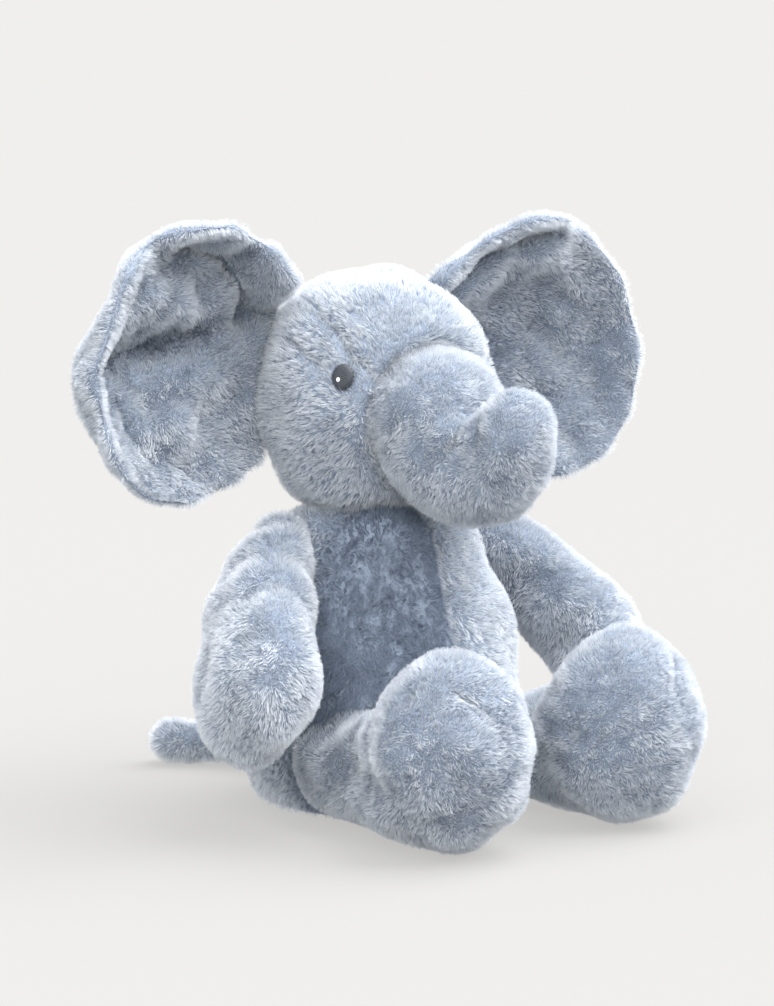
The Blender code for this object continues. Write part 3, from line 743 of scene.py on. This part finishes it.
def build_leg(side):
    word = side_word(side)
    piece = round_limb(f"{word}_leg", LEG_STATIONS, side, level=True)

    foot = np.array(LEG_STATIONS[-1][0]) * (side, 1.0, 1.0)
    dart = [
        foot + (0.0126 * side, -0.0237, 0.0311), foot + (0.0080 * side, -0.0300, 0.0266),
        foot + (0.0020 * side, -0.0350, 0.0200),
    ]
    tuck = [foot + (0.029 * side, -0.005, 0.0245), foot + (0.0245 * side, -0.006, 0.031)]
    ankle = [
        foot + (0.024 * side, 0.020, 0.014), foot + (0.031 * side, 0.014, 0.0),
        foot + (0.026 * side, 0.018, -0.018),
    ]
    sole = foot + (0.010 * side, -0.036, 0.003)

    def offsets(points):
        result = crease(points, dart, width=0.0030, depth=0.0050)
        result += crease(points, tuck, width=0.0030, depth=0.0030)
        result += crease(points, ankle, width=0.0050, depth=0.0014)
        return result + 0.0012 * Waves(17 + int(side), 0.035)(points)

    shape(piece, offsets)
    keep_off_floor(piece)

    # Painted shade over the sole, where the pile is seen end-on
    def ruffled(points):
        return 0.32 * near_point(points, sole, 0.026)

    nodes = [f"{word}_leg_outer_panel", f"{word}_leg_inner_panel", f"{word}_leg_filling"]
    comb = comb_along((0.0, -1.0, 0.2))
    seams = [(dart, 0.0018), (tuck, 0.0012), (ankle, 0.0010)]
    finish_piece(
        piece, f"{word}_leg", nodes, comb, seed=500 + int(side), keep=above(0.0025),
        seams=seams, ruffled=ruffled,
    )


def build_tail():
    piece = round_limb("tail", TAIL_STATIONS, 1.0, columns=40)
    keep_off_floor(piece)
    nodes = ["tail_left_panel", "tail_right_panel", "tail_filling"]
    comb = comb_along((-0.2, 1.0, 0.0))
    finish_piece(piece, "tail", nodes, comb, seed=600, keep=above(0.0025))


def mound(out, up, centre, radii):
    """A smooth bump of height one on the ear's plane."""
    return np.exp(-((out - centre[0]) / radii[0]) ** 2 - ((up - centre[1]) / radii[1]) ** 2)


def ear_depth(out, up, share, side):
    """How far back the middle of the ear lies at a place in its plane."""
    place = np.stack([out, up], axis=1)

    depth = EAR_DISH * (1.0 - share ** 3.0)
    depth = depth - 0.020 * near_path(place, EAR_RIM, 0.0085)
    depth = depth + 0.010 * near_path(place, EAR_RIM_SEAM, 0.0032)
    if side > 0:
        depth = depth - 0.012 * near_path(place, EAR_PLEAT, 0.010)
        depth = depth + 0.006 * mound(out, up, (0.050, 0.020), (0.040, 0.024))
        return depth
    depth = depth - 0.011 * mound(out, up, (0.056, 0.045), (0.034, 0.015))
    depth = depth + 0.010 * near_path(place, EAR_VALLEY, 0.0100)
    depth = depth - 0.008 * near_path(place, EAR_RIDGE, 0.014)
    depth = depth + 0.004 * mound(out, up, (0.045, -0.034), (0.013, 0.011))
    depth = depth + 0.005 * mound(out, up, (0.100, -0.004), (0.007, 0.009))
    return depth


def build_ear(side):
    word = side_word(side)
    middle = EAR_SEAM_MIDDLE * (side, 1.0, 1.0) - (0.0, 0.0, EAR_TILT * side)
    sweep = math.radians(LEFT_EAR_SWEEP_DEG if side > 0 else RIGHT_EAR_SWEEP_DEG)
    tall = 1.0 if side > 0 else RIGHT_EAR_HEIGHT
    outline = smooth_curve(EAR_OUTLINE, 130, closed=True)
    reach = outline - EAR_BOWL
    reach = reach * (1.0 - SKIN_INSET / np.linalg.norm(reach, axis=1, keepdims=True))
    shares = np.sin(np.linspace(0.0, 0.5 * math.pi, 34))
    rings = []

    def place_of(flat, depth):
        out = flat[:, 0] * math.cos(sweep) + depth * math.sin(sweep)
        back = depth * math.cos(sweep) - flat[:, 0] * math.sin(sweep)
        return middle + np.stack([out * side, back, flat[:, 1] * tall], axis=1)

    def layer(share, direction):
        flat = EAR_BOWL + reach * share
        half = EAR_HALF_THICKNESS * math.sqrt(max(1.0 - share ** 6, 0.0))
        return place_of(flat, ear_depth(flat[:, 0], flat[:, 1], share, side) + direction * half)

    for share in shares:
        rings.append(layer(share, -1.0))
    for share in shares[-2::-1]:
        rings.append(layer(share, 1.0))
    piece = skin_object(f"{word}_ear", np.vstack(rings), grid_faces(len(rings), len(outline)))

    def offsets(points):
        return 0.0008 * Waves(23 + int(side), 0.025)(points)

    shape(piece, offsets)

    def comb(points, normals):
        return unit(points - EAR_SEAM_MIDDLE * (side, 1.0, 1.0)) + (0.0, 0.0, -0.3)

    def ruffled(points):
        """Painted shade in the bowl of the left ear, and in the valley and the bowl of the right one."""
        flat = points - middle
        up = flat[:, 2]
        out = (flat[:, 0] * side * math.cos(sweep)) - flat[:, 1] * math.sin(sweep)
        if side > 0:
            return 0.65 * mound(out, up, (0.035, 0.005), (0.040, 0.048))
        place = np.stack([out, up], axis=1)
        bowl = mound(out, up, (0.040, -0.005), (0.050, 0.035))
        return 0.45 * near_path(place, EAR_VALLEY, 0.008) + 0.25 * bowl

    rim = np.array(EAR_RIM_SEAM)
    rim_share = np.full(len(rim), 0.9)
    rim_path = place_of(rim, ear_depth(rim[:, 0], rim[:, 1], rim_share, side) - EAR_HALF_THICKNESS)
    nodes = [f"{word}_ear_front_panel", f"{word}_ear_back_panel", f"{word}_ear_wadding"]
    finish_piece(
        piece, f"{word}_ear", nodes, comb, seed=700 + int(side), fill=0.5,
        seams=[(rim_path, 0.0022)], ruffled=ruffled,
    )


def build_eye(side):
    """An oval of satin stitches with one short white stitch."""
    word = side_word(side)
    skin_radii = HEAD_RADII - SKIN_INSET
    towards = unit((EYE_POSITION * (side, 1.0, 1.0) - HEAD_CENTRE) / skin_radii)
    centre = HEAD_CENTRE + towards * skin_radii
    normal = unit(towards / skin_radii)
    up = unit(np.array([0.0, 0.0, 1.0]) - normal * normal[2])
    right = np.cross(up, normal)
    rows = 40
    columns = 64
    angles = np.linspace(0.0, 2.0 * math.pi, columns, endpoint=False)
    rings = []

    def ring(share, level):
        stitches = np.sin(np.sin(angles) * share * 46.0 + np.cos(angles) * share * 9.0)
        ragged = 1.0 + 0.05 * share ** 8 * np.sin(angles * 19.0)
        return (
            centre
            + np.outer(np.cos(angles) * EYE_HALF_WIDTH * share * ragged, right)
            + np.outer(np.sin(angles) * EYE_HALF_HEIGHT * share * ragged, up)
            + np.outer(level + STITCH_RELIEF * stitches * (share < 0.97), normal)
        )

    for step in range(rows + 1):
        share = step / rows
        rings.append(ring(share, EYE_DOME * math.sqrt(max(1.0 - share ** 4, 0.0))))
    rings.append(ring(0.0, -0.0025))
    eye = skin_object(f"{word}_eye_stitches", np.vstack(rings), grid_faces(len(rings), columns))
    eye.data.materials.append(EYE_THREAD)
    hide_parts(f"{word}_eye")
    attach(eye, "head")

    spot_rings = []
    spot_centre = centre - up * 0.0016 + right * (0.0016 * side) + normal * 0.0022
    for step in range(7):
        share = math.sin(0.5 * math.pi * step / 6)
        level = 0.0006 * math.cos(0.5 * math.pi * step / 6)
        spot_rings.append(
            spot_centre
            + np.outer(np.cos(angles) * 0.0010 * share, right)
            + np.outer(np.sin(angles) * 0.0011 * share, up)
            + level * normal
        )
    spot_rings.append(np.tile(spot_centre - normal * 0.0003, (columns, 1)))
    spot_faces = grid_faces(len(spot_rings), columns)
    spot = skin_object(f"{word}_eye_highlight_stitch", np.vstack(spot_rings), spot_faces)
    spot.data.materials.append(WHITE_THREAD)
    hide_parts(f"{word}_eye_highlight")
    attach(spot, "head")


def build_stitching(name, body, node, centre, axis, radius):
    """A ring of twisted thread that closes a seam."""
    axis = np.array(axis, dtype=float)
    first = unit(np.cross(axis, (0.0, 1.0, 0.2)))
    second = np.cross(axis, first)
    steps = 96
    columns = 10
    rings = []
    for step in range(steps):
        around = 2.0 * math.pi * step / steps
        outward = first * math.cos(around) + second * math.sin(around)
        tube = THREAD_RADIUS + 0.00025 * math.sin(24.0 * around)
        through = np.linspace(0.0, 2.0 * math.pi, columns, endpoint=False)
        rings.append(
            np.array(centre) + outward * radius
            + np.outer(np.cos(through) * tube, outward) + np.outer(np.sin(through) * tube, axis)
        )
    rings.append(rings[0])
    piece = skin_object(name, np.vstack(rings), grid_faces(len(rings), columns))
    piece.data.materials.append(SEAM_THREAD)
    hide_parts(node)
    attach(piece, body)


def build_floor():
    """A pale floor that runs to the horizon."""
    body = bmesh.new()
    bmesh.ops.create_circle(body, cap_ends=True, segments=96, radius=60.0)
    mesh = bpy.data.meshes.new("floor")
    body.to_mesh(mesh)
    body.free()
    floor = bpy.data.objects.new("floor", mesh)
    bpy.context.scene.collection.objects.link(floor)
    material = bpy.data.materials.new("pale_floor")
    material.use_nodes = True
    tree = material.node_tree
    shader = tree.nodes["Principled BSDF"]
    shader.inputs["Base Color"].default_value = FLOOR_COLOUR
    shader.inputs["Roughness"].default_value = 1.0
    shader.inputs["Specular IOR Level"].default_value = 0.0
    shader.inputs["Emission Color"].default_value = BACKDROP_COLOUR
    shader.inputs["Emission Strength"].default_value = FLOOR_GLOW
    place = tree.nodes.new("ShaderNodeTexCoord")
    reach = tree.nodes.new("ShaderNodeVectorMath")
    reach.operation = "LENGTH"
    tree.links.new(place.outputs["Object"], reach.inputs[0])
    fade = tree.nodes.new("ShaderNodeMapRange")
    fade.interpolation_type = "SMOOTHSTEP"
    fade.inputs["From Min"].default_value = FLOOR_FADE[0]
    fade.inputs["From Max"].default_value = FLOOR_FADE[1]
    tree.links.new(reach.outputs["Value"], fade.inputs["Value"])
    glow = tree.nodes.new("ShaderNodeEmission")
    glow.inputs["Color"].default_value = BACKDROP_COLOUR
    choose = tree.nodes.new("ShaderNodeMixShader")
    tree.links.new(fade.outputs["Result"], choose.inputs["Fac"])
    tree.links.new(shader.outputs["BSDF"], choose.inputs[1])
    tree.links.new(glow.outputs["Emission"], choose.inputs[2])
    tree.links.new(choose.outputs["Shader"], tree.nodes["Material Output"].inputs["Surface"])
    mesh.materials.append(material)


def build_sky():
    """An even pale backdrop, and for lighting a dome that is brightest overhead."""
    world = bpy.data.worlds.new("studio")
    world.use_nodes = True
    tree = world.node_tree
    backdrop = tree.nodes["Background"]
    backdrop.inputs["Color"].default_value = BACKDROP_COLOUR
    dome = tree.nodes.new("ShaderNodeBackground")
    dome.inputs["Strength"].default_value = DOME_STRENGTH
    place = tree.nodes.new("ShaderNodeTexCoord")
    split = tree.nodes.new("ShaderNodeSeparateXYZ")
    ramp = tree.nodes.new("ShaderNodeValToRGB")
    ramp.color_ramp.elements[0].position = 0.0
    ramp.color_ramp.elements[0].color = (0.22, 0.22, 0.22, 1.0)
    ramp.color_ramp.elements[1].position = 0.9
    ramp.color_ramp.elements[1].color = (1.0, 1.0, 1.0, 1.0)
    tree.links.new(place.outputs["Generated"], split.inputs["Vector"])
    tree.links.new(split.outputs["Z"], ramp.inputs["Fac"])
    tree.links.new(ramp.outputs["Color"], dome.inputs["Color"])
    path = tree.nodes.new("ShaderNodeLightPath")
    choose = tree.nodes.new("ShaderNodeMixShader")
    tree.links.new(path.outputs["Is Camera Ray"], choose.inputs["Fac"])
    tree.links.new(dome.outputs["Background"], choose.inputs[1])
    tree.links.new(backdrop.outputs["Background"], choose.inputs[2])
    tree.links.new(choose.outputs["Shader"], tree.nodes["World Output"].inputs["Surface"])
    bpy.context.scene.world = world


def sun(name, towards, strength, softness_deg):
    """A broad soft light from one direction, as even across the floor as a wide softbox."""
    data = bpy.data.lights.new(name, "SUN")
    data.energy = strength
    data.angle = math.radians(softness_deg)
    lamp = bpy.data.objects.new(name, data)
    lamp.rotation_euler = Vector(towards).to_track_quat("Z", "Y").to_euler()
    bpy.context.scene.collection.objects.link(lamp)


def build_stage():
    build_floor()
    build_sky()
    sun("key", (0.60, -0.32, 0.98), KEY_STRENGTH, 65.0)
    sun("fill", (-0.60, -0.60, 0.90), FILL_STRENGTH, 80.0)


def build_camera():
    azimuth = math.radians(CAMERA_AZIMUTH_DEG)
    elevation = math.radians(CAMERA_ELEVATION_DEG)
    back = Vector((
        math.sin(azimuth) * math.cos(elevation),
        -math.cos(azimuth) * math.cos(elevation),
        math.sin(elevation),
    ))
    target = Vector(CAMERA_TARGET)
    data = bpy.data.cameras.new("camera")
    data.lens = CAMERA_LENS
    data.sensor_width = 36.0
    data.clip_end = 100.0
    camera = bpy.data.objects.new("camera", data)
    camera.location = target + back * CAMERA_DISTANCE
    camera.rotation_euler = (target - camera.location).to_track_quat("-Z", "Y").to_euler()
    bpy.context.scene.collection.objects.link(camera)
    bpy.context.scene.camera = camera


build_stage()
build_camera()
bpy.context.scene.view_settings.view_transform = "Standard"
build_head()
build_torso()
build_trunk()
build_tail()
for side in (1.0, -1.0):
    build_arm(side)
    build_leg(side)
    build_ear(side)
    build_eye(side)
    word = side_word(side)
    build_stitching(
        f"{word}_shoulder_thread", f"{word}_shoulder_seam", f"{word}_shoulder_stitching",
        np.array(SHOULDER_SEAM) * (side, 1.0, 1.0), (1.0, 0.0, 0.0), SHOULDER_SEAM_RADIUS,
    )
build_stitching("neck_thread", "neck_seam", "neck_stitching", NECK_SEAM, (0.0, 0.0, 1.0), NECK_SEAM_RADIUS)
